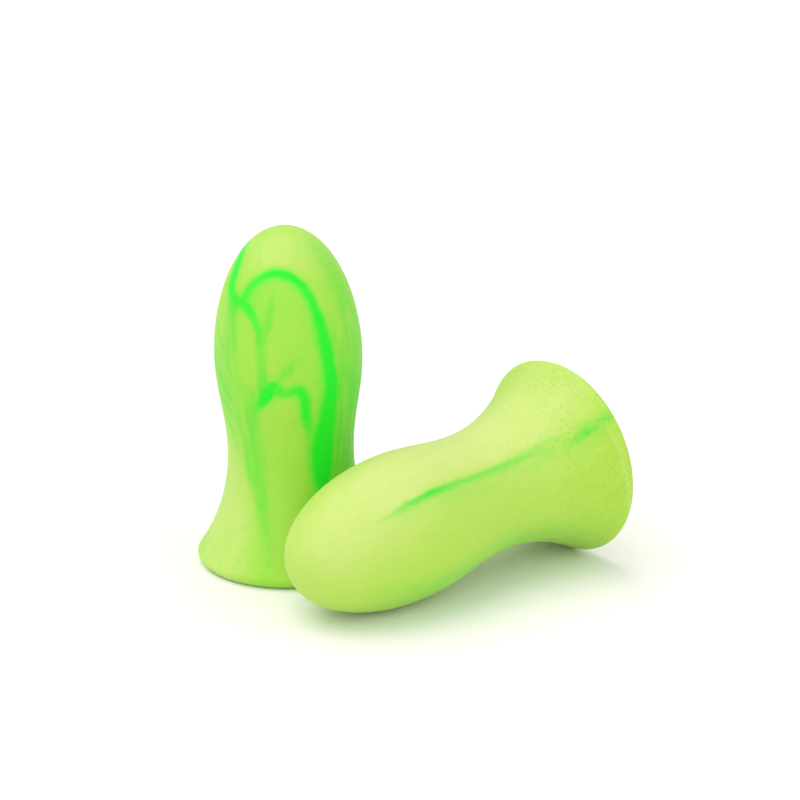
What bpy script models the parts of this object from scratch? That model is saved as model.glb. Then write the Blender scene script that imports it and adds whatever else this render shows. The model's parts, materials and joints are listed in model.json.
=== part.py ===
"""A pair of loose foam ear plugs: one standing on its flared base, one lying beside it.

Each plug is a single moulding of soft polyurethane foam, so it is one turned solid.
Frame: metres, +Z up. The origin is the centre of the standing plug's base face.
"""

import math
from dataclasses import dataclass

import bpy

MM = 0.001


@dataclass(frozen=True)
class PlugSize:
    """Driving sizes of one plug. Heights run along its axis, from the base face to the tip."""

    length: float
    base_radius: float
    rim_radius: float
    waist_radius: float
    waist_height: float
    head_radius: float
    head_height: float
    flare_power: float
    nose_power: float


UPRIGHT = PlugSize(
    length=26.4 * MM,
    base_radius=7.46 * MM,
    rim_radius=0.78 * MM,
    waist_radius=4.89 * MM,
    waist_height=9.0 * MM,
    head_radius=5.66 * MM,
    head_height=16.4 * MM,
    flare_power=2.1,
    nose_power=1.0,
)
LYING = PlugSize(
    length=26.5 * MM,
    base_radius=7.83 * MM,
    rim_radius=0.72 * MM,
    waist_radius=4.79 * MM,
    waist_height=9.55 * MM,
    head_radius=5.53 * MM,
    head_height=16.65 * MM,
    flare_power=2.0,
    nose_power=0.93,
)

# Where the lying plug's base centre stands on the ground plan, and where its tip points.
LYING_BASE_X = 21.45 * MM
LYING_BASE_Y = 1.85 * MM
LYING_HEADING = math.radians(219)

# Facets of the turned solids.
SIDES = 48
RIM_POINTS = 4
FLARE_POINTS = 8
SHOULDER_POINTS = 7
NOSE_POINTS = 10
MERGE_DISTANCE = 0.02 * MM

LIME = (0.43, 0.78, 0.10, 1.0)
PALE_LIME = (0.52, 0.77, 0.14, 1.0)
FOAM_ROUGHNESS = 0.85


def steps(count):
    """Fractions from 0 to 1, leaving out 0."""
    return [index / count for index in range(1, count + 1)]


def plug_profile(size):
    """Half outline as (radius, height) points, from the tip down the outer side to the base."""
    points = [(0.0, 0.0), (size.base_radius - size.rim_radius, 0.0)]

    for t in steps(RIM_POINTS):
        turn = t * math.pi / 2
        radius = size.base_radius - size.rim_radius * (1 - math.sin(turn))
        points.append((radius, size.rim_radius * (1 - math.cos(turn))))

    flare_height = size.waist_height - size.rim_radius
    for t in steps(FLARE_POINTS):
        spread = (1 - t) ** size.flare_power
        radius = size.waist_radius + (size.base_radius - size.waist_radius) * spread
        points.append((radius, size.rim_radius + t * flare_height))

    for t in steps(SHOULDER_POINTS):
        swell = (1 - math.cos(math.pi * t)) / 2
        radius = size.waist_radius + (size.head_radius - size.waist_radius) * swell
        points.append((radius, size.waist_height + t * (size.head_height - size.waist_height)))

    nose_height = size.length - size.head_height
    for t in steps(NOSE_POINTS)[:-1]:
        turn = t * math.pi / 2
        radius = size.head_radius * math.cos(turn) ** size.nose_power
        points.append((radius, size.head_height + nose_height * math.sin(turn)))
    points.append((0.0, size.length))

    return points[::-1]


def reach(points, dip):
    """How far below the base centre the points come when the axis dips by this angle."""
    return max(height * math.sin(dip) + radius * math.cos(dip) for radius, height in points)


def resting_dip(size):
    """Angle at which a plug on its side touches the ground with its rim and its head."""
    profile = plug_profile(size)
    base_half = [point for point in profile if point[1] < size.waist_height]
    head_half = [point for point in profile if point[1] > size.waist_height]

    least, most = 0.0, math.pi / 4
    while most - least > 1e-9:
        dip = (least + most) / 2
        if reach(head_half, dip) < reach(base_half, dip):
            least = dip
        else:
            most = dip
    return dip


def foam(name, colour):
    """Matt foam of one plain colour."""
    material = bpy.data.materials.new(name)
    material.use_nodes = True
    shader = material.node_tree.nodes["Principled BSDF"]
    shader.inputs["Base Color"].default_value = colour
    shader.inputs["Roughness"].default_value = FOAM_ROUGHNESS
    shader.inputs["Metallic"].default_value = 0.0
    return material


def turned_plug(name, size, material, collection):
    """A plug turned about its own axis, with its origin at the centre of its base face."""
    profile = plug_profile(size)
    mesh = bpy.data.meshes.new(name)
    vertices = [(radius, 0.0, height) for radius, height in profile]
    edges = [(index, index + 1) for index in range(len(profile) - 1)]
    mesh.from_pydata(vertices, edges, [])
    mesh.materials.append(material)

    plug = bpy.data.objects.new(name, mesh)
    collection.objects.link(plug)

    screw = plug.modifiers.new("turn", "SCREW")
    screw.axis = "Z"
    screw.angle = 2 * math.pi
    screw.steps = SIDES
    screw.render_steps = SIDES
    screw.use_merge_vertices = True
    screw.merge_threshold = MERGE_DISTANCE
    screw.use_smooth_shade = True
    return plug


def clear_scene():
    """Remove whatever the scene holds."""
    for thing in list(bpy.data.objects):
        bpy.data.objects.remove(thing, do_unlink=True)


def main():
    """Build both plugs in a collection of their own."""
    clear_scene()
    collection = bpy.data.collections.new("foam_ear_plugs")
    bpy.context.scene.collection.children.link(collection)

    turned_plug("upright_plug", UPRIGHT, foam("upright_foam", LIME), collection)

    lying = turned_plug("lying_plug", LYING, foam("lying_foam", PALE_LIME), collection)
    dip = resting_dip(LYING)
    lying.location = (LYING_BASE_X, LYING_BASE_Y, reach(plug_profile(LYING), dip))
    lying.rotation_euler = (0.0, math.pi / 2 + dip, LYING_HEADING)


main()
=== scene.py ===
"""Looks for a loose pair of marbled foam ear plugs: one stands on its base, one lies beside it.

Each plug is one moulding of slow-recovery polyurethane (PU) foam. It is drawn here as a fine skin
over the outline of its CAD solid, with the small unevenness of a moulding, pin holes, creases, and
ribbons of green pigment that were swirled through the foam before it set. Pale ribbons of painted
highlight lie where the plugs face the light, and painted shade darkens the folds, the pits of the
cells and, in part, the standing plug's shaded right side.
"""

import json
import logging
import math
import random
from dataclasses import dataclass
from enum import Enum

import bpy
import numpy as np
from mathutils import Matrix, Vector, noise


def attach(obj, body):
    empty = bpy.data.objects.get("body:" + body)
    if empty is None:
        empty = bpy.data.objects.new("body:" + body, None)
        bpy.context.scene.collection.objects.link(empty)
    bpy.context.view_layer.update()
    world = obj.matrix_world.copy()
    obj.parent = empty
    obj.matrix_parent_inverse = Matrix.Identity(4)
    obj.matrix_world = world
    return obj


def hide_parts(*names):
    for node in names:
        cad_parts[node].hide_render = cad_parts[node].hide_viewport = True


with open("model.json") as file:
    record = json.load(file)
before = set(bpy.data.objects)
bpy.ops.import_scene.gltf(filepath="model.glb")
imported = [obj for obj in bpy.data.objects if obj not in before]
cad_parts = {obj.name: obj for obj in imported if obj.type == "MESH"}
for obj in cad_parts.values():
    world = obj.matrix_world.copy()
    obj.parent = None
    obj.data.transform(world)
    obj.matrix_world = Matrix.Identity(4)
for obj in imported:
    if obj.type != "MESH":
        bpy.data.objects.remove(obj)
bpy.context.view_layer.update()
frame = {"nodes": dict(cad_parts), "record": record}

MM = 0.001
THIN_SKIN = "thin_skin"  # the mesh attribute that says how thin the moulded skin is
UV_MAP = "OFBake"
SEED_STEP = np.array((17.3, 5.9, 11.1))  # how far, in swells, one seed's noise lies from the next
log = logging.getLogger("foam_ear_plugs")


def linear(hex_colour: str) -> tuple[float, float, float, float]:
    """Turn an sRGB hex colour into the linear RGBA that Blender works in.

    Args:
        hex_colour: A colour such as "#a9e04b".

    Returns:
        Linear red, green, blue and an alpha of 1.
    """
    channels = [int(hex_colour[start : start + 2], 16) / 255 for start in (1, 3, 5)]
    red, green, blue = (
        c / 12.92 if c <= 0.04045 else ((c + 0.055) / 1.055) ** 2.4 for c in channels
    )
    return red, green, blue, 1.0


def add_node(
    tree: bpy.types.NodeTree,
    kind: str,
    settings: dict[str | int, object] | None = None,
    links: dict[str | int, bpy.types.NodeSocket] | None = None,
) -> bpy.types.Node:
    """Add one node with its settings and links.

    Args:
        tree: The node tree it goes in.
        kind: Blender's name for the node type.
        settings: Values by input name, input number or property name.
        links: The output that feeds each input, by input name or number.

    Returns:
        The new node.
    """
    node = tree.nodes.new(kind)
    for name, value in (settings or {}).items():
        if isinstance(name, int) or name in node.inputs:
            node.inputs[name].default_value = value
        else:
            setattr(node, name, value)
    for name, output in (links or {}).items():
        tree.links.new(output, node.inputs[name])
    return node


def smooth_noise(points: np.ndarray, feature: float, seed: int) -> np.ndarray:
    """Sample smooth random values at each point.

    Args:
        points: Places in metres, one per row.
        feature: Size of one swell of the noise, in metres.
        seed: Picks the pattern, from 1 up. Blender takes 0 as the time of day.

    Returns:
        Three values from about -1 to 1 for each point.
    """
    noise.seed_set(seed)
    sampled = points / feature + SEED_STEP * seed
    return np.array([noise.noise_vector(Vector(place)) for place in sampled])


def smooth_curve(points: np.ndarray, before: np.ndarray, after: np.ndarray) -> np.ndarray:
    """Draw a smooth curve through the points.

    Args:
        points: The points that the curve passes through, one per row.
        before: A point that sets the direction at the start.
        after: A point that sets the direction at the end.

    Returns:
        Many closely spaced points on the curve.
    """
    parts_per_span = 24
    chain = np.vstack([before, points, after])
    knots = np.cumsum([0.0, *np.linalg.norm(np.diff(chain, axis=0), axis=1)])
    slopes = (chain[2:] - chain[:-2]) / (knots[2:] - knots[:-2])[:, None]
    drawn = []
    for span in range(len(points) - 1):
        length = knots[span + 2] - knots[span + 1]
        t = np.linspace(0, 1, parts_per_span, endpoint=False)[:, None]
        drawn.append(
            (2 * t**3 - 3 * t**2 + 1) * points[span]
            + (t**3 - 2 * t**2 + t) * length * slopes[span]
            + (3 * t**2 - 2 * t**3) * points[span + 1]
            + (t**3 - t**2) * length * slopes[span + 1]
        )
    return np.vstack([*drawn, points[-1:]])


def even_steps(curve: np.ndarray, count: int) -> np.ndarray:
    """Pick points at even distances along a curve.

    Args:
        curve: Closely spaced points, one per row.
        count: How many points to pick, both ends included.

    Returns:
        The picked points, one per row.
    """
    travelled = np.cumsum([0.0, *np.linalg.norm(np.diff(curve, axis=0), axis=1)])
    stops = np.linspace(0, travelled[-1], count)
    return np.column_stack([np.interp(stops, travelled, column) for column in curve.T])


class Mark(Enum):
    """What a ribbon leaves on the skin. The value is the name of its mesh attribute."""

    PIGMENT = "pigment"
    TINT = "tint"
    # Pale colour laid where the surface faces the light: a painted highlight.
    PAINTED_HIGHLIGHT = "painted_highlight"
    # Darker colour laid along the folds as painted shade; the same mask also presses them in.
    CREASE = "crease_and_painted_shade"


@dataclass(frozen=True)
class Ribbon:
    """A mark that runs over the skin of a plug, from point to point.

    Each point is (azimuth in degrees, height in mm, half width in mm, strength from 0 to 1). A
    height below 0 is on the base face, that far in from its edge. Beyond its half width the mark
    fades over feather, in mm: on the left, then on the right, as one walks along the ribbon.
    """

    mark: Mark
    feather: tuple[float, float]
    points: tuple[tuple[float, float, float, float], ...]


@dataclass(frozen=True)
class Pose:
    """Where the centre of a plug's base is, and which way the plug points and faces."""

    base: np.ndarray
    axis: np.ndarray
    front: np.ndarray

    @classmethod
    def from_mount(cls, mount_name: str, faces: tuple[float, float, float]) -> "Pose":
        """Read a plug's pose from the mount on its base.

        Args:
            mount_name: The mount on the plug's base face.
            faces: A direction that azimuth 0 looks towards, as nearly as the axis allows.

        Returns:
            The pose.
        """
        mounts = {mount["name"]: mount for mount in frame["record"]["mounts"]}
        base = np.array(mounts[mount_name]["pos_m"], float)
        axis = -np.array(mounts[mount_name]["axis"], float)
        axis /= np.linalg.norm(axis)
        front = np.array(faces, float)
        front -= front @ axis * axis
        return cls(base, axis, front / np.linalg.norm(front))

    def _directions(self) -> np.ndarray:
        """The plug's own front, side and axis directions, one per row."""
        return np.array([self.front, np.cross(self.axis, self.front), self.axis])

    def to_plug(self, places: np.ndarray) -> np.ndarray:
        """Turn places in the object's frame into places along the plug's front, side and axis."""
        return (places - self.base) @ self._directions().T

    def to_object(self, places: np.ndarray) -> np.ndarray:
        """Turn places along the plug's front, side and axis into places in the object's frame."""
        return places @ self._directions() + self.base


@dataclass(frozen=True)
class MarbledFoam:
    """Moulded PU foam dyed a fluorescent lime, with green pigment swirled through it.

    The skin that formed against the mould is closed and satin, which gives a broad pale sheen on
    the lit side, and a pale painted highlight colour adds to it where the plugs face the light.
    Where it is thin the foam's cells show as a fine grain, with painted shade in their pits; the
    folds are darkened with painted shade too. Light sinks a little way in, so the edges between
    light and shade are soft.
    """

    name: str
    lime: str
    pale: str
    tint: str
    pigment: str
    # Painted highlight colour, laid on the tops and edges that face the light.
    painted_highlight: str = "#cbdc80"
    # Painted shade colour for the folds, darker than the foam.
    crease_and_painted_shade: str = "#86d044"
    shaded_cell: str = "#cbe4a0"
    roughness: float = 0.55
    open_roughness: float = 0.85
    cell: float = 0.24 * MM  # at the coarse end of real cells, so that they show
    grain: float = 0.11 * MM
    mottle: float = 3.2 * MM
    speckle: float = 0.2 * MM
    relief_depth: float = 0.025 * MM
    relief_strength: float = 0.5
    grain_share: float = 0.5
    light_depth: float = 0.6 * MM

    def material(self) -> bpy.types.Material:
        """Build the finish from its colours and sizes.

        Returns:
            The finish as a material.
        """
        material = bpy.data.materials.new(self.name)
        material.use_nodes = True
        tree = material.node_tree
        tree.nodes.clear()
        place = add_node(tree, "ShaderNodeTexCoord").outputs["Object"]
        pits = self._pits(tree, place)
        grain = add_node(
            tree,
            "ShaderNodeTexNoise",
            {"Scale": 1 / self.grain, "Detail": 2.0, "Roughness": 0.6},
            {"Vector": place},
        ).outputs["Fac"]
        relief = add_node(
            tree,
            "ShaderNodeMath",
            {"operation": "MULTIPLY_ADD", 1: self.grain_share},
            {0: grain, 2: pits},
        ).outputs[0]
        # Painted shade: the pits of the open cells are darkened towards the shaded cell colour.
        colour = add_node(
            tree,
            "ShaderNodeMix",
            {"data_type": "RGBA", "blend_type": "MULTIPLY", 7: linear(self.shaded_cell)},
            {0: pits, 6: self._colour(tree, place)},
        ).outputs[2]
        rough = add_node(
            tree,
            "ShaderNodeMapRange",
            {"To Min": self.roughness, "To Max": self.open_roughness},
            {"Value": relief},
        ).outputs["Result"]
        bump = add_node(
            tree,
            "ShaderNodeBump",
            {"Strength": self.relief_strength, "Distance": self.relief_depth, "invert": True},
            {"Height": relief},
        ).outputs["Normal"]
        shader = add_node(
            tree,
            "ShaderNodeBsdfPrincipled",
            {
                "IOR": 1.45,
                "Specular IOR Level": 0.55,
                "Subsurface Weight": 0.12,
                "Subsurface Radius": (1.0, 1.0, 0.4),
                "Subsurface Scale": self.light_depth,
                "Sheen Weight": 0.1,
                "Sheen Roughness": 0.5,
            },
            {"Base Color": colour, "Roughness": rough, "Normal": bump},
        )
        add_node(tree, "ShaderNodeOutputMaterial", None, {"Surface": shader.outputs[0]})
        return material

    def _colour(
        self, tree: bpy.types.NodeTree, place: bpy.types.NodeSocket
    ) -> bpy.types.NodeSocket:
        """Lay the painted highlight, the painted shade of the folds, the green tint and the vivid
        pigment over the lime foam.

        Args:
            tree: The material's node tree.
            place: Where the surface point is on the plug, in metres.

        Returns:
            The colour before the grain.
        """
        mottle = add_node(
            tree,
            "ShaderNodeTexNoise",
            {"Scale": 1 / self.mottle, "Detail": 3.0, "Roughness": 0.5},
            {"Vector": place},
        ).outputs["Fac"]
        colour = add_node(
            tree,
            "ShaderNodeMix",
            {"data_type": "RGBA", 6: linear(self.lime), 7: linear(self.pale)},
            {0: mottle},
        ).outputs[2]
        take = self._take(tree, place)
        # Painted highlight and painted shade are laid over the foam here, before the green tint and
        # the pigment.
        laid_colours = (
            (Mark.PAINTED_HIGHLIGHT, self.painted_highlight),
            (Mark.CREASE, self.crease_and_painted_shade),
            (Mark.TINT, self.tint),
            (Mark.PIGMENT, self.pigment),
        )
        for mark, laid_colour in laid_colours:
            mark_here = add_node(tree, "ShaderNodeAttribute", {"attribute_name": mark.value})
            amount = add_node(
                tree,
                "ShaderNodeMath",
                {"operation": "MULTIPLY"},
                {0: mark_here.outputs["Fac"], 1: take},
            ).outputs[0]
            colour = add_node(
                tree,
                "ShaderNodeMix",
                {"data_type": "RGBA", 7: linear(laid_colour)},
                {0: amount, 6: colour},
            ).outputs[2]
        return colour

    def _take(
        self, tree: bpy.types.NodeTree, place: bpy.types.NodeSocket
    ) -> bpy.types.NodeSocket:
        """Break the laid colours, painted light among them, up into specks where the skin is thin
        and the cells are open.

        Args:
            tree: The material's node tree.
            place: Where the surface point is on the plug, in metres.

        Returns:
            The share of a laid colour that shows, from 0 to 1.
        """
        specks = add_node(
            tree,
            "ShaderNodeTexNoise",
            {"Scale": 1 / self.speckle, "Detail": 1.0},
            {"Vector": place},
        ).outputs["Fac"]
        gaps = add_node(
            tree, "ShaderNodeMapRange", {"From Min": 0.4, "From Max": 0.6}, {"Value": specks}
        ).outputs["Result"]
        thin_skin = add_node(tree, "ShaderNodeAttribute", {"attribute_name": THIN_SKIN})
        bare = add_node(
            tree,
            "ShaderNodeMapRange",
            {"From Min": 0.3, "From Max": 1.0},
            {"Value": thin_skin.outputs["Fac"]},
        ).outputs["Result"]
        missing = add_node(
            tree, "ShaderNodeMath", {"operation": "MULTIPLY"}, {0: gaps, 1: bare}
        ).outputs[0]
        return add_node(
            tree, "ShaderNodeMath", {"operation": "SUBTRACT", 0: 1.0}, {1: missing}
        ).outputs[0]

    def _pits(
        self, tree: bpy.types.NodeTree, place: bpy.types.NodeSocket
    ) -> bpy.types.NodeSocket:
        """Draw the foam's cells as small soft pits, some open and some closed.

        Args:
            tree: The material's node tree.
            place: Where the surface point is on the plug, in metres.

        Returns:
            How deep in a pit the surface point is, from 0 to 1, where the skin is thin.
        """
        cells = add_node(
            tree,
            "ShaderNodeTexVoronoi",
            {"feature": "SMOOTH_F1", "Scale": 1 / self.cell, "Smoothness": 0.6},
            {"Vector": place},
        )
        pit = add_node(
            tree,
            "ShaderNodeMapRange",
            {"From Min": 0.0, "From Max": 0.6, "To Min": 1.0, "To Max": 0.0},
            {"Value": cells.outputs["Distance"]},
        ).outputs["Result"]
        open_here = add_node(
            tree, "ShaderNodeSeparateColor", None, {"Color": cells.outputs["Color"]}
        ).outputs["Red"]
        open_pit = add_node(
            tree, "ShaderNodeMath", {"operation": "MULTIPLY"}, {0: pit, 1: open_here}
        ).outputs[0]
        thin_skin = add_node(tree, "ShaderNodeAttribute", {"attribute_name": THIN_SKIN})
        return add_node(
            tree,
            "ShaderNodeMath",
            {"operation": "MULTIPLY"},
            {0: open_pit, 1: thin_skin.outputs["Fac"]},
        ).outputs[0]


@dataclass(frozen=True)
class StudioBoard:
    """Painted board: an even, matt, nearly white surface."""

    name: str = "painted_board"
    paint: str = "#f6f6f4"
    roughness: float = 0.9

    def material(self) -> bpy.types.Material:
        """Build the finish.

        Returns:
            The finish as a material.
        """
        material = bpy.data.materials.new(self.name)
        material.use_nodes = True
        shader = material.node_tree.nodes["Principled BSDF"]
        shader.inputs["Base Color"].default_value = linear(self.paint)
        shader.inputs["Roughness"].default_value = self.roughness
        return material


@dataclass
class FoamPlug:
    """One plug: a fine skin over its CAD outline, uneven as a moulding is, with its marks.

    Its sizes are in metres. The skin rises and falls by swell over swell_length, and by ripple over
    ripple_length. The names that end in open say how open the foam's cells are, from 0 to 1.
    """

    node: str
    piece: str
    pose: Pose
    finish: MarbledFoam
    ribbons: tuple[Ribbon, ...]
    seed: int
    lean: tuple[float, float] = (0.0, 0.0)
    columns: int = 288
    side_rows: int = 290
    base_rows: int = 40
    swell: float = 0.04 * MM
    swell_length: float = 6 * MM
    ripple: float = 0.006 * MM
    ripple_length: float = 0.7 * MM
    base_dish: float = 0.15 * MM
    crease_depth: float = 0.09 * MM
    pin_holes: int = 70
    pin_hole_depth: float = 0.05 * MM
    pin_hole_radii: tuple[float, float] = (0.12 * MM, 0.3 * MM)
    veins: float = 0.16
    vein_width: float = 0.16
    flare_open: float = 0.35
    waist_open: float = 0.2
    head_open: float = 0.15

    def build(self) -> bpy.types.Object:
        """Build the plug, dress it and attach it to the body of its CAD node.

        Returns:
            The finished piece.
        """
        outline = self._outline()
        skin = self._skin(outline)
        marks = {mark: np.zeros(len(skin)) for mark in Mark}
        marks[Mark.TINT] = self._veins(skin)
        wandering = skin + self._wander(skin)
        for ribbon in self.ribbons:
            cover = self._cover(ribbon, wandering, outline)
            marks[ribbon.mark] = np.maximum(marks[ribbon.mark], cover)
        marks[Mark.TINT] *= self._wisps(skin)
        shaped = self._shape(skin, marks[Mark.CREASE])
        plug = self._mesh(self.pose.to_object(shaped))
        self._unwrap(plug)
        for mark, strength in marks.items():
            self._store(plug, mark.value, strength)
        self._store(plug, THIN_SKIN, self._thin_skin(skin))
        plug.data.materials.append(self.finish.material())
        self._declare(plug)
        return plug

    def _outline(self) -> np.ndarray:
        """Measure the CAD solid's rings, and draw a smooth outline through them.

        Returns:
            (radius, height) points from the edge of the flat base, up the side, to the tip.
        """
        vertices = frame["nodes"][self.node].data.vertices
        own = self.pose.to_plug(np.array([vertex.co for vertex in vertices], float))
        radius = np.hypot(own[:, 0], own[:, 1])
        height = own[:, 2]
        same_ring = 0.01 * MM
        rings: list[tuple[float, float]] = []
        for index in np.argsort(height):
            if rings and height[index] - rings[-1][1] < same_ring:
                rings[-1] = (max(rings[-1][0], radius[index]), rings[-1][1])
            else:
                rings.append((radius[index], height[index]))
        points = np.array(rings)
        points[0, 1] = 0.0
        points[-1, 0] = 0.0
        on_base = points[0] - (0.2 * MM, 0.0)
        past_tip = points[-2] * (-1, 1)
        return smooth_curve(points, on_base, past_tip)

    def _skin(self, outline: np.ndarray) -> np.ndarray:
        """Turn the outline round the plug's axis into an even grid of points.

        Args:
            outline: (radius, height) points up the side.

        Returns:
            Places on the plug's own axes, row by row from the base centre to the tip.
        """
        flat = np.linspace((0.0, 0.0), outline[0], self.base_rows, endpoint=False)[1:]
        rows = np.vstack([flat, even_steps(outline, self.side_rows)[:-1]])
        turn = np.arange(self.columns) * 2 * math.pi / self.columns
        radius, height = rows[:, :1], rows[:, 1:]
        grid = np.stack(
            [radius * np.cos(turn), radius * np.sin(turn), np.repeat(height, self.columns, axis=1)],
            axis=-1,
        ).reshape(-1, 3)
        return np.vstack([(0.0, 0.0, 0.0), grid, (0.0, 0.0, outline[-1, 1])])

    def _wander(self, skin: np.ndarray) -> np.ndarray:
        """Work out how far the marks stray from their routes, as stirred pigment does.

        Args:
            skin: Places on the plug's own axes.

        Returns:
            A move for each point, made of slow bends and small quick ones.
        """
        slow_length, slow_move = 2.0 * MM, 0.14 * MM
        quick_length, quick_move = 0.5 * MM, 0.08 * MM
        slow = smooth_noise(skin, slow_length, self.seed) * slow_move
        quick = smooth_noise(skin, quick_length, self.seed + 1) * quick_move
        return slow + quick

    def _veins(self, skin: np.ndarray) -> np.ndarray:
        """Draw faint green veins all over, stretched along the plug as the foam rose in its mould.

        Args:
            skin: Places on the plug's own axes.

        Returns:
            A strength from 0 to 1 for each point.
        """
        stretch = (1.0, 1.0, 0.28)
        fold_length, fold_depth, vein_length = 3.0 * MM, 1.1 * MM, 1.5 * MM
        drawn_out = skin * stretch
        fold = smooth_noise(drawn_out, fold_length, self.seed + 4) * fold_depth
        level = smooth_noise(drawn_out + fold, vein_length, self.seed + 5)[:, 0]
        return self.veins * np.exp(-((level / self.vein_width) ** 2))

    def _wisps(self, skin: np.ndarray) -> np.ndarray:
        """Work out how well a tint takes: in fine threads, stretched along the plug.

        Args:
            skin: Places on the plug's own axes.

        Returns:
            The share of the tint that each point takes, from 0 to 1.
        """
        stretch, thread_width = (1.0, 1.0, 0.18), 0.5 * MM
        usual, varies_by = 0.85, 0.6
        threads = smooth_noise(skin * stretch, thread_width, self.seed + 7)[:, 0]
        return np.clip(usual + varies_by * threads, 0, 1)

    def _cover(self, ribbon: Ribbon, skin: np.ndarray, outline: np.ndarray) -> np.ndarray:
        """Work out how strongly a ribbon marks each point of the skin.

        Args:
            ribbon: The ribbon to lay.
            skin: Places on the plug's own axes.
            outline: (radius, height) points up the side.

        Returns:
            A strength from 0 to 1 for each point.
        """
        narrowest, sharpness = 0.02, 1.6
        stops = np.array(ribbon.points, float)
        ends = 2 * stops[0] - stops[1], 2 * stops[-1] - stops[-2]
        track = smooth_curve(stops, *ends)
        turn, height = np.radians(track[:, 0]), track[:, 1] * MM
        edge = outline[0, 0]
        radius = np.interp(height, [-edge, *outline[:, 1]], [0.0, *outline[:, 0]])
        outward = np.column_stack([np.cos(turn), np.sin(turn), np.zeros_like(turn)])
        path = outward * radius[:, None] + np.outer(np.maximum(height, 0), (0, 0, 1))
        outward[height < 0] = (0, 0, -1)
        leftward = np.cross(outward, np.gradient(path, axis=0))

        feather = np.array(ribbon.feather) * MM
        half_width = np.maximum(track[:, 2], narrowest) * MM
        margin = half_width.max() + 3 * feather.max()
        near = ((skin > path.min(0) - margin) & (skin < path.max(0) + margin)).all(axis=1)
        gaps = np.linalg.norm(skin[near][:, None, :] - path[None, :, :], axis=2)
        nearest = gaps.argmin(axis=1)
        gap = gaps[np.arange(len(nearest)), nearest]
        is_left = ((skin[near] - path[nearest]) * leftward[nearest]).sum(axis=1) > 0
        fade = np.where(is_left, feather[0], feather[1])
        beyond = np.maximum(gap - half_width[nearest], 0.0) / fade
        cover = np.zeros(len(skin))
        cover[near] = np.clip(track[nearest, 3], 0, 1) * np.exp(-(beyond**sharpness))
        return cover

    def _thin_skin(self, skin: np.ndarray) -> np.ndarray:
        """Say how thin the moulded skin is: thick on the head, thin on the flare, open on the base.

        Args:
            skin: Places on the plug's own axes.

        Returns:
            A value from 0, closed, to 1, open, for each point.
        """
        base, rim, flare, waist, tip = np.array((0.0, 0.03, 0.15, 0.35, 1.0)) * skin[-1, 2]
        openness = np.interp(
            skin[:, 2],
            (base, rim, flare, waist, tip),
            (1.0, self.flare_open, 0.8 * self.flare_open, self.waist_open, self.head_open),
        )
        patch_length, patch_share = 2.5 * MM, 0.6
        patchy = 1 + patch_share * smooth_noise(skin, patch_length, self.seed + 6)[:, 0]
        return np.clip(openness * patchy, 0, 1)

    def _shape(self, skin: np.ndarray, crease_and_painted_shade: np.ndarray) -> np.ndarray:
        """Make the turned skin as uneven as a soft moulding.

        Args:
            skin: Places on the plug's own axes.
            crease_and_painted_shade: How strongly each point is creased, from 0 to 1.

        Returns:
            The moved places.
        """
        length = skin[-1, 2]
        flare_core, head_core = 0.1 * length, 0.6 * length
        centre = np.zeros_like(skin)
        centre[:, 2] = np.clip(skin[:, 2], flare_core, head_core)
        outward = skin - centre
        outward /= np.linalg.norm(outward, axis=1)[:, None]

        rise = smooth_noise(skin, self.swell_length, self.seed + 2)[:, 0] * self.swell
        rise += smooth_noise(skin, self.ripple_length, self.seed + 3)[:, 0] * self.ripple
        rise -= crease_and_painted_shade * self.crease_depth
        rise -= self._pin_hole_depths(skin)
        moved = skin + outward * rise[:, None]

        reach = np.hypot(skin[:, 0], skin[:, 1])
        on_base = skin[:, 2] <= 0
        hollow = self.base_dish * (1 - (reach / reach[on_base].max()) ** 2)
        moved[on_base, 2] = hollow[on_base]
        moved[:, :2] += np.outer((skin[:, 2] / length) ** 2, self.lean)
        return moved

    def _pin_hole_depths(self, skin: np.ndarray) -> np.ndarray:
        """Press a pin hole into the skin wherever a bubble met the mould.

        Args:
            skin: Places on the plug's own axes.

        Returns:
            How deep each point lies in a pin hole, in metres.
        """
        draw = random.Random(self.seed)
        depths = np.zeros(len(skin))
        for _ in range(self.pin_holes):
            centre = skin[draw.randrange(len(skin))]
            radius = draw.uniform(*self.pin_hole_radii)
            gap = np.linalg.norm(skin - centre, axis=1) / radius
            depths = np.maximum(depths, self.pin_hole_depth * np.clip(1 - gap**2, 0, 1) ** 2)
        return depths

    def _mesh(self, places: np.ndarray) -> bpy.types.Object:
        """Join the points into one closed mesh.

        Args:
            places: Places in the object's frame, in the skin's order.

        Returns:
            The plug as an object.
        """
        places[:, 2] = np.maximum(places[:, 2], 0.0)
        rows = (len(places) - 2) // self.columns
        tip = len(places) - 1
        last = 1 + (rows - 1) * self.columns
        faces: list[tuple[int, ...]] = []
        for column in range(self.columns):
            beside = (column + 1) % self.columns
            faces.append((0, 1 + beside, 1 + column))
            for start in range(1, last, self.columns):
                lower, lower_beside = start + column, start + beside
                faces.append(
                    (lower, lower_beside, lower_beside + self.columns, lower + self.columns)
                )
            faces.append((last + column, last + beside, tip))
        mesh = bpy.data.meshes.new(self.piece)
        mesh.from_pydata(places.tolist(), [], faces)
        mesh.shade_smooth()
        plug = bpy.data.objects.new(self.piece, mesh)
        bpy.context.scene.collection.objects.link(plug)
        return plug

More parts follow.
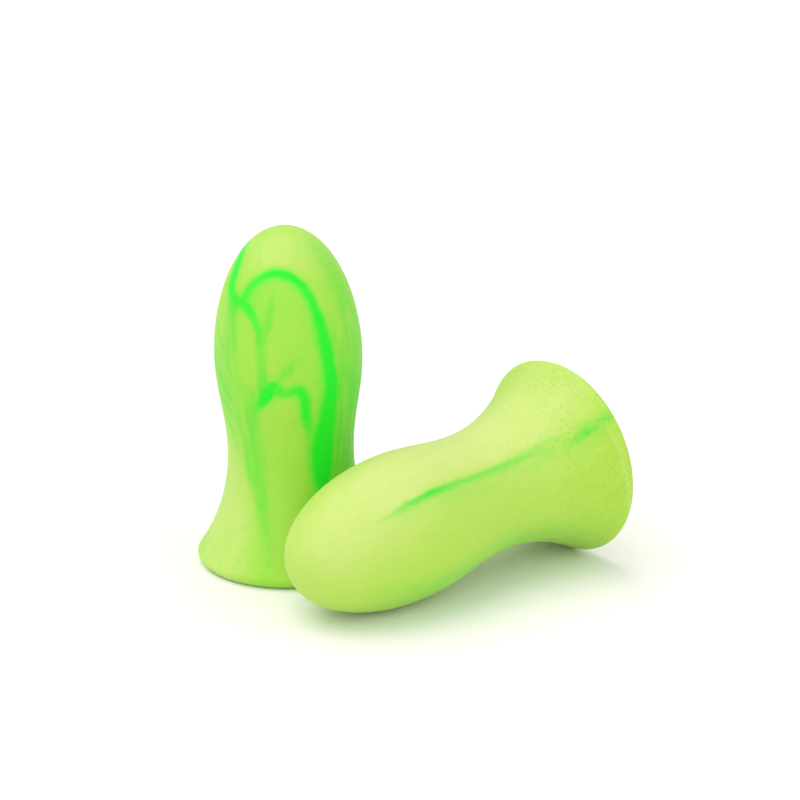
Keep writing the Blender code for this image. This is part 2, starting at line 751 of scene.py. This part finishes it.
    def _unwrap(self, plug: bpy.types.Object) -> None:
        """Lay the skin out flat for its textures: columns across, base centre to tip upward.

        Args:
            plug: The plug's object, with its faces in the order that _mesh made them.
        """
        rows = (len(plug.data.vertices) - 2) // self.columns
        layer = plug.data.uv_layers.new(name=UV_MAP)
        corners = []
        for polygon in plug.data.polygons:
            spots = [divmod(index - 1, self.columns) for index in polygon.vertices]
            columns = [spot[1] for spot in spots if 0 <= spot[0] < rows]
            wraps = max(columns) - min(columns) > 1
            left = max(columns) if wraps else min(columns)
            for row, column in spots:
                across = left + 0.5 if not 0 <= row < rows else column
                if wraps and across < left:
                    across += self.columns
                corners.append((across / self.columns, (row + 1) / (rows + 1)))
        layer.data.foreach_set("uv", np.array(corners, np.float32).ravel())

    def _store(self, plug: bpy.types.Object, name: str, values: np.ndarray) -> None:
        """Keep one value for each point on the plug's mesh, for its finish to read."""
        attribute = plug.data.attributes.new(name, "FLOAT", "POINT")
        attribute.data.foreach_set("value", values.astype(np.float32))

    def _declare(self, plug: bpy.types.Object) -> None:
        """Attach the plug to the body that its CAD node belongs to, and hide that node.

        Args:
            plug: The finished piece.
        """
        record = frame["record"]
        bodies = record["behaviour"]["bodies"]
        body = next(name for name, nodes in bodies.items() if self.node in nodes)
        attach(plug, body)
        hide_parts(self.node)


@dataclass(frozen=True)
class SoftLight:
    """A large soft source, far enough away to light the whole floor evenly."""

    name: str
    comes_from: tuple[float, float, float]
    strength: float
    spread: float
    colour: str

    def build(self) -> None:
        """Hang the light."""
        lamp = bpy.data.lights.new(self.name, "SUN")
        lamp.energy = self.strength
        lamp.angle = self.spread
        lamp.color = linear(self.colour)[:3]
        holder = bpy.data.objects.new(self.name, lamp)
        holder.rotation_euler = Vector(self.comes_from).to_track_quat("Z", "Y").to_euler()
        bpy.context.scene.collection.objects.link(holder)


@dataclass(frozen=True)
class Studio:
    """The pale floor, the soft light and the camera."""

    lights: tuple[SoftLight, ...]
    target: Vector
    pitch: float
    distance: float
    lens: float
    sky: str = "#ffffff"
    sky_strength: float = 0.68
    floor_radius: float = 3.0
    sensor_width: float = 36.0
    nearest_seen: float = 5 * MM

    def build(self) -> bpy.types.Object:
        """Build the whole studio.

        Returns:
            The floor.
        """
        floor = self._floor()
        self._sky()
        for light in self.lights:
            light.build()
        self._camera()
        bpy.context.scene.view_settings.view_transform = "Standard"
        return floor

    def _floor(self) -> bpy.types.Object:
        """Lay a round painted board under the pair.

        Returns:
            The floor.
        """
        bpy.ops.mesh.primitive_circle_add(
            vertices=96, radius=self.floor_radius, fill_type="NGON", location=(0, 0, 0)
        )
        floor = bpy.context.active_object
        floor.name = "studio_floor"
        floor.data.materials.append(StudioBoard().material())
        return floor

    def _sky(self) -> None:
        """Light the scene evenly from all round."""
        world = bpy.data.worlds.new("studio_sky")
        world.use_nodes = True
        background = world.node_tree.nodes["Background"]
        background.inputs["Color"].default_value = linear(self.sky)
        background.inputs["Strength"].default_value = self.sky_strength
        bpy.context.scene.world = world

    def _camera(self) -> None:
        """Set the camera so that it looks level across the pair and a little down on it."""
        camera = bpy.data.objects.new("camera", bpy.data.cameras.new("camera"))
        camera.data.lens = self.lens
        camera.data.sensor_width = self.sensor_width
        camera.data.clip_start = self.nearest_seen
        back = Vector((0.0, -math.cos(self.pitch), math.sin(self.pitch)))
        camera.location = self.target + back * self.distance
        camera.rotation_euler = (math.pi / 2 - self.pitch, 0.0, 0.0)
        bpy.context.scene.collection.objects.link(camera)
        bpy.context.scene.camera = camera


# The standing plug's marbling, painted highlights and painted shade. Azimuth 0 is its front, and
# positive azimuths go towards +X.
CROWN_STREAK = Ribbon(
    Mark.PIGMENT,
    (0.35, 0.3),
    (
        (-150, 25.9, 0.08, 0.10),
        (-120, 25.6, 0.10, 0.45),
        (-95, 25.2, 0.12, 0.80),
        (-80, 24.7, 0.16, 0.95),
        (-69, 24.1, 0.24, 1.00),
        (-63, 23.3, 0.32, 1.00),
        (-60, 22.5, 0.30, 1.00),
        (-54, 21.8, 0.22, 0.95),
        (-48, 21.5, 0.16, 0.90),
        (-39, 21.4, 0.18, 0.95),
    ),
)
ARCH = Ribbon(
    Mark.PIGMENT,
    (0.3, 0.5),
    (
        (-39, 21.4, 0.16, 0.95),
        (-37, 22.2, 0.12, 0.90),
        (-28, 22.98, 0.11, 0.88),
        (-10, 23.6, 0.13, 1.00),
        (5, 23.45, 0.14, 0.98),
        (16, 22.95, 0.14, 0.98),
        (25, 21.9, 0.15, 0.95),
        (30.3, 20.2, 0.20, 1.00),
        (34, 18.2, 0.29, 1.00),
        (36.7, 16.2, 0.38, 1.00),
        (37.5, 14.2, 0.46, 1.00),
        (36.5, 12.6, 0.54, 1.00),
        (35, 11.2, 0.63, 1.00),
        (34, 9.9, 0.72, 1.00),
        (33, 8.6, 0.68, 1.00),
        (32, 7.2, 0.42, 0.95),
        (31, 5.4, 0.26, 0.60),
        (30, 3.0, 0.10, 0.20),
    ),
)
ARCH_GLOW = Ribbon(
    Mark.TINT,
    (0.9, 0.5),
    (
        (34, 20.5, 0.2, 0.3),
        (45, 17.5, 0.5, 0.6),
        (49, 14.0, 0.6, 0.8),
        (49, 10.5, 0.7, 0.8),
        (46, 7.0, 0.5, 0.5),
        (44, 4.0, 0.3, 0.2),
    ),
)
CROOK = Ribbon(
    Mark.PIGMENT,
    (0.3, 0.22),
    (
        (-39, 21.4, 0.18, 0.90),
        (-32, 21.0, 0.22, 0.90),
        (-25.5, 20.4, 0.15, 0.85),
        (-20.5, 19.6, 0.09, 0.65),
        (-18, 18.9, 0.05, 0.35),
        (-18, 18.0, 0.03, 0.05),
    ),
)
CROOK_TAIL = Ribbon(
    Mark.TINT,
    (0.4, 0.3),
    (
        (-22, 20.0, 0.10, 0.30),
        (-18, 18.8, 0.14, 0.85),
        (-17, 17.4, 0.14, 0.80),
        (-17, 16.0, 0.16, 0.80),
        (-19, 14.8, 0.22, 0.80),
        (-24, 14.0, 0.30, 0.70),
    ),
)
CROOK_WISP = Ribbon(
    Mark.TINT,
    (0.35, 0.5),
    (
        (-7, 22.4, 0.05, 0.25),
        (-10, 21.4, 0.12, 0.60),
        (-13, 20.3, 0.18, 0.75),
        (-16, 19.2, 0.18, 0.80),
        (-18, 18.1, 0.12, 0.60),
    ),
)
HOOK = Ribbon(
    Mark.PIGMENT,
    (0.26, 0.28),
    (
        (-22, 13.7, 0.14, 0.60),
        (-18, 14.2, 0.26, 0.95),
        (-13, 14.8, 0.32, 1.00),
        (-9, 15.4, 0.28, 0.95),
        (-5, 15.15, 0.26, 0.85),
        (1, 14.95, 0.19, 0.75),
        (8, 15.15, 0.20, 0.88),
        (12.5, 14.9, 0.20, 0.95),
        (15.5, 14.0, 0.18, 0.95),
        (17.3, 12.7, 0.16, 0.90),
        (19.5, 11.7, 0.10, 0.50),
        (25, 10.6, 0.10, 0.20),
    ),
)
HOOK_TAIL = Ribbon(
    Mark.TINT,
    (0.45, 0.4),
    ((18, 13.5, 0.1, 0.4), (22, 11.6, 0.15, 0.6), (26, 10.0, 0.25, 0.7), (29, 8.6, 0.3, 0.6)),
)
HOOK_PLUME = Ribbon(
    Mark.TINT,
    (0.45, 0.35),
    (
        (-5, 15.8, 0.06, 0.45),
        (1, 16.4, 0.08, 0.70),
        (7, 17.0, 0.06, 0.60),
        (14, 17.7, 0.05, 0.30),
        (20, 19.2, 0.05, 0.10),
    ),
)
WAIST_TRAIL = Ribbon(
    Mark.TINT,
    (0.65, 0.42),
    (
        (-26, 14.8, 0.12, 0.70),
        (-30, 13.0, 0.14, 0.90),
        (-30, 10.8, 0.12, 0.90),
        (-28, 8.8, 0.14, 0.85),
        (-25, 6.8, 0.18, 0.75),
        (-20, 4.8, 0.18, 0.55),
        (-15, 2.8, 0.18, 0.35),
        (-12, 0.8, 0.14, 0.15),
        (-9, -1.5, 0.14, 0.15),
        (-2, -5.0, 0.10, 0.05),
    ),
)
WAIST_TRAIL_SIDE = Ribbon(
    Mark.TINT,
    (0.3, 0.3),
    (
        (-44, 13.6, 0.1, 0.6),
        (-41, 10.8, 0.15, 0.8),
        (-36, 8.6, 0.15, 0.7),
        (-30, 6.8, 0.1, 0.4),
    ),
)
HEAD_TRAIL = Ribbon(
    Mark.TINT,
    (0.5, 0.5),
    (
        (-49, 21.4, 0.20, 0.9),
        (-47, 20.2, 0.28, 0.9),
        (-45, 19.0, 0.28, 0.8),
        (-43, 17.6, 0.24, 0.6),
        (-39, 16.0, 0.20, 0.5),
        (-31, 14.6, 0.18, 0.5),
    ),
)
# Green tint on the standing plug's right side, partly marbling and partly painted shade on the side
# turned away from the key light.
SHADY_SIDE = Ribbon(
    Mark.TINT,
    (1.3, 0.9),
    (
        (58, 24.8, 0.2, 0.45),
        (63, 23.0, 0.5, 0.55),
        (66, 20.5, 0.9, 0.60),
        (68, 17.5, 1.2, 0.75),
        (68, 14.0, 1.5, 0.85),
        (66, 10.5, 1.5, 0.90),
        (62, 7.0, 1.2, 0.60),
        (58, 3.5, 0.8, 0.30),
        (56, 0.5, 0.5, 0.15),
    ),
)
LEFT_VEIL = Ribbon(
    Mark.TINT,
    (1.0, 1.0),
    (
        (-62, 20.5, 0.5, 0.25),
        (-66, 17.0, 1.2, 0.45),
        (-58, 13.5, 1.1, 0.55),
        (-52, 10.5, 0.5, 0.25),
    ),
)
ARCH_VEIL = Ribbon(
    Mark.TINT,
    (0.9, 0.9),
    (
        (-24, 21.9, 0.3, 0.40),
        (-8, 21.8, 0.5, 0.25),
        (6, 20.4, 0.9, 0.20),
        (24, 14.0, 0.5, 0.25),
    ),
)
BACK_SWEEP = Ribbon(
    Mark.PIGMENT,
    (0.5, 0.25),
    (
        (118, 22.5, 0.10, 0.15),
        (128, 20.0, 0.16, 0.70),
        (139, 17.0, 0.25, 0.95),
        (152, 14.0, 0.30, 1.00),
        (168, 11.5, 0.26, 0.95),
        (184, 9.0, 0.22, 0.85),
        (193, 6.0, 0.18, 0.60),
        (197, 3.0, 0.15, 0.35),
        (198, 0.4, 0.12, 0.25),
        (200, -2.0, 0.10, 0.20),
        (214, -4.6, 0.10, 0.08),
    ),
)
BACK_WISP = Ribbon(
    Mark.PIGMENT,
    (0.2, 0.45),
    (
        (210, 21.8, 0.10, 0.20),
        (218, 20.4, 0.14, 0.70),
        (228, 19.6, 0.16, 0.85),
        (239, 18.2, 0.14, 0.70),
        (243, 16.0, 0.12, 0.45),
        (241, 13.4, 0.10, 0.15),
    ),
)
BACK_VEIL = Ribbon(
    Mark.TINT,
    (0.7, 0.7),
    (
        (170, 24.6, 0.2, 0.3),
        (176, 21.0, 0.5, 0.6),
        (188, 17.0, 0.7, 0.6),
        (206, 13.0, 0.6, 0.7),
        (218, 9.0, 0.6, 0.6),
        (222, 5.0, 0.5, 0.4),
        (224, 0.8, 0.3, 0.2),
    ),
)
# Painted highlight: pale colour on the crown of the standing plug, which faces the light.
CROWN_PAINTED_HIGHLIGHT = Ribbon(
    Mark.PAINTED_HIGHLIGHT,
    (2.2, 1.5),
    ((-50, 25.3, 0.3, 0.2), (-25, 25.1, 0.6, 0.4), (0, 24.9, 0.7, 0.45), (30, 25.0, 0.4, 0.35)),
)
# Painted highlight: pale colour on the lower left of the flare, which faces up towards the light.
FLARE_PAINTED_HIGHLIGHT = Ribbon(
    Mark.PAINTED_HIGHLIGHT,
    (1.6, 1.8),
    (
        (-62, 10.5, 0.2, 0.20),
        (-60, 7.0, 0.8, 0.40),
        (-55, 4.0, 1.5, 0.55),
        (-50, 1.5, 1.5, 0.50),
    ),
)
# Folds on the standing plug's left side: each is pressed in and darkened with painted shade.
FOLDS_WITH_PAINTED_SHADE = tuple(
    Ribbon(Mark.CREASE, (0.1, 0.16), points)
    for points in (
        (
            (-72, 19.4, 0.02, 0.3),
            (-55, 17.8, 0.04, 0.8),
            (-46, 16.1, 0.03, 0.7),
            (-38, 14.7, 0.02, 0.3),
        ),
        (
            (-66, 16.5, 0.02, 0.4),
            (-58, 14.8, 0.04, 1.0),
            (-50, 13.8, 0.04, 0.8),
            (-42, 12.8, 0.02, 0.3),
        ),
        (
            (-74, 14.4, 0.02, 0.3),
            (-64, 13.6, 0.04, 0.9),
            (-56, 13.1, 0.03, 0.8),
            (-48, 12.3, 0.02, 0.3),
        ),
        ((-54, 20.1, 0.02, 0.3), (-50, 18.1, 0.03, 0.7), (-45, 16.7, 0.02, 0.3)),
        ((-66, 12.6, 0.02, 0.3), (-58, 11.6, 0.03, 0.7), (-52, 10.1, 0.02, 0.3)),
        ((-82, 17.6, 0.02, 0.3), (-74, 16.6, 0.04, 0.8), (-66, 15.2, 0.02, 0.4)),
    )
)

# The lying plug's marbling and painted highlights. Azimuth 0 is its upper side, and negative
# azimuths are its front.
STREAK = Ribbon(
    Mark.PIGMENT,
    (0.11, 0.3),
    (
        (-49.0, 21.4, 0.03, 0.10),
        (-48.3, 20.3, 0.05, 0.35),
        (-47.0, 18.9, 0.07, 0.60),
        (-46.0, 17.6, 0.08, 0.75),
        (-45.3, 16.6, 0.08, 0.85),
        (-46.0, 15.2, 0.06, 0.65),
        (-46.5, 13.8, 0.05, 0.52),
        (-47.0, 11.8, 0.05, 0.52),
        (-46.5, 9.7, 0.06, 0.45),
        (-47.5, 7.8, 0.05, 0.30),
        (-48.5, 6.0, 0.05, 0.15),
    ),
)
STREAK_HALO = Ribbon(
    Mark.TINT,
    (0.3, 0.9),
    (
        (-48, 20.0, 0.1, 0.15),
        (-48, 16.5, 0.2, 0.50),
        (-49, 13.0, 0.3, 0.50),
        (-49, 9.5, 0.3, 0.55),
        (-49, 7.0, 0.4, 0.55),
        (-50, 5.0, 0.4, 0.50),
        (-52, 3.0, 0.4, 0.55),
        (-51, 1.2, 0.4, 0.50),
        (-50, 0.2, 0.3, 0.35),
        (-48, -2.0, 0.2, 0.15),
    ),
)
RIM_SMUDGE = Ribbon(
    Mark.PIGMENT,
    (0.22, 0.22),
    (
        (-54.0, 4.0, 0.08, 0.15),
        (-53.0, 3.1, 0.14, 0.55),
        (-52.5, 2.5, 0.16, 0.70),
        (-52.5, 1.9, 0.10, 0.45),
        (-51.0, 1.0, 0.14, 0.55),
        (-50.5, 0.3, 0.14, 0.50),
        (-49.0, -0.6, 0.10, 0.40),
        (-44.0, -2.6, 0.08, 0.15),
    ),
)
# Painted highlight: pale colour along the lying plug's upper side, which faces the light.
TOP_PAINTED_HIGHLIGHT = Ribbon(
    Mark.PAINTED_HIGHLIGHT,
    (2.6, 2.6),
    (
        (-36, 24.5, 1.0, 0.65),
        (-30, 22.0, 1.3, 0.80),
        (-20, 18.5, 1.4, 0.85),
        (-13, 15.0, 1.4, 0.85),
        (-10, 11.0, 1.4, 0.85),
        (-12, 7.5, 1.8, 0.85),
        (-12, 4.5, 1.9, 0.75),
        (-6, 1.5, 1.7, 0.55),
    ),
)
# Painted highlight: a thin pale line along the rounded rim of the lying plug's base.
RIM_PAINTED_HIGHLIGHT = Ribbon(
    Mark.PAINTED_HIGHLIGHT,
    (0.12, 0.12),
    (
        (-38, 1.2, 0.02, 0.15),
        (-62, 1.1, 0.05, 0.4),
        (-90, 0.9, 0.07, 0.5),
        (-117, 0.6, 0.04, 0.2),
    ),
)
FAR_STREAK = Ribbon(
    Mark.PIGMENT,
    (0.4, 0.14),
    (
        (96, 21.5, 0.05, 0.10),
        (104, 19.0, 0.10, 0.45),
        (110, 16.0, 0.14, 0.65),
        (121, 12.5, 0.12, 0.60),
        (136, 9.0, 0.10, 0.45),
        (146, 5.5, 0.08, 0.30),
        (149, 2.0, 0.08, 0.15),
    ),
)
BELLY_VEIL = Ribbon(
    Mark.TINT,
    (1.1, 1.1),
    (
        (-120, 22.0, 0.3, 0.3),
        (-128, 18.0, 0.8, 0.6),
        (-134, 13.0, 1.0, 0.7),
        (-138, 8.0, 1.0, 0.6),
        (-140, 3.0, 0.8, 0.4),
    ),
)

UPRIGHT = FoamPlug(
    node="upright_plug",
    piece="upright_foam_plug",
    pose=Pose.from_mount("upright_base", faces=(0, -1, 0)),
    finish=MarbledFoam("pu_foam_lime", "#98d832", "#acda4e", "#52da26", "#00e616"),
    ribbons=(
        CROWN_PAINTED_HIGHLIGHT,
        FLARE_PAINTED_HIGHLIGHT,
        CROWN_STREAK,
        ARCH,
        ARCH_GLOW,
        CROOK,
        CROOK_TAIL,
        CROOK_WISP,
        HOOK,
        HOOK_TAIL,
        HOOK_PLUME,
        WAIST_TRAIL,
        WAIST_TRAIL_SIDE,
        HEAD_TRAIL,
        SHADY_SIDE,
        LEFT_VEIL,
        ARCH_VEIL,
        BACK_SWEEP,
        BACK_WISP,
        BACK_VEIL,
        *FOLDS_WITH_PAINTED_SHADE,
    ),
    seed=3,
    lean=(0.0, -0.21 * MM),
)
LYING = FoamPlug(
    node="lying_plug",
    piece="lying_foam_plug",
    pose=Pose.from_mount("lying_base", faces=(0, 0, 1)),
    finish=MarbledFoam("pu_foam_pale_lime", "#a6d43c", "#b3d750", "#7ad436", "#08d824"),
    ribbons=(TOP_PAINTED_HIGHLIGHT, RIM_PAINTED_HIGHLIGHT, STREAK, STREAK_HALO, RIM_SMUDGE, FAR_STREAK, BELLY_VEIL),
    seed=8,
    veins=0.1,
    flare_open=0.6,
)
STUDIO = Studio(
    lights=(
        SoftLight("key_light", (-0.35, 0.05, 0.93), 1.5, math.radians(60), "#fff4f2"),
        SoftLight("front_light", (-0.25, -0.85, 0.45), 0.6, math.radians(60), "#ffffff"),
        SoftLight("side_light", (0.90, -0.35, 0.35), 0.5, math.radians(60), "#ffffff"),
    ),
    target=Vector((8.46, 0.0, 12.77)) * MM,
    pitch=math.radians(16.44),
    distance=135.0 * MM,
    lens=78.75,
)


def main() -> None:
    """Build the studio and both plugs, and report each piece."""
    logging.basicConfig(level=logging.INFO, format="%(name)s: %(message)s")
    floor = STUDIO.build()
    log.info("%s: %.0f m across", floor.name, 2 * STUDIO.floor_radius)
    for plug in (UPRIGHT, LYING):
        piece = plug.build()
        log.info("%s: %d points, for %s", piece.name, len(piece.data.vertices), plug.node)


if __name__ == "__main__":
    main()
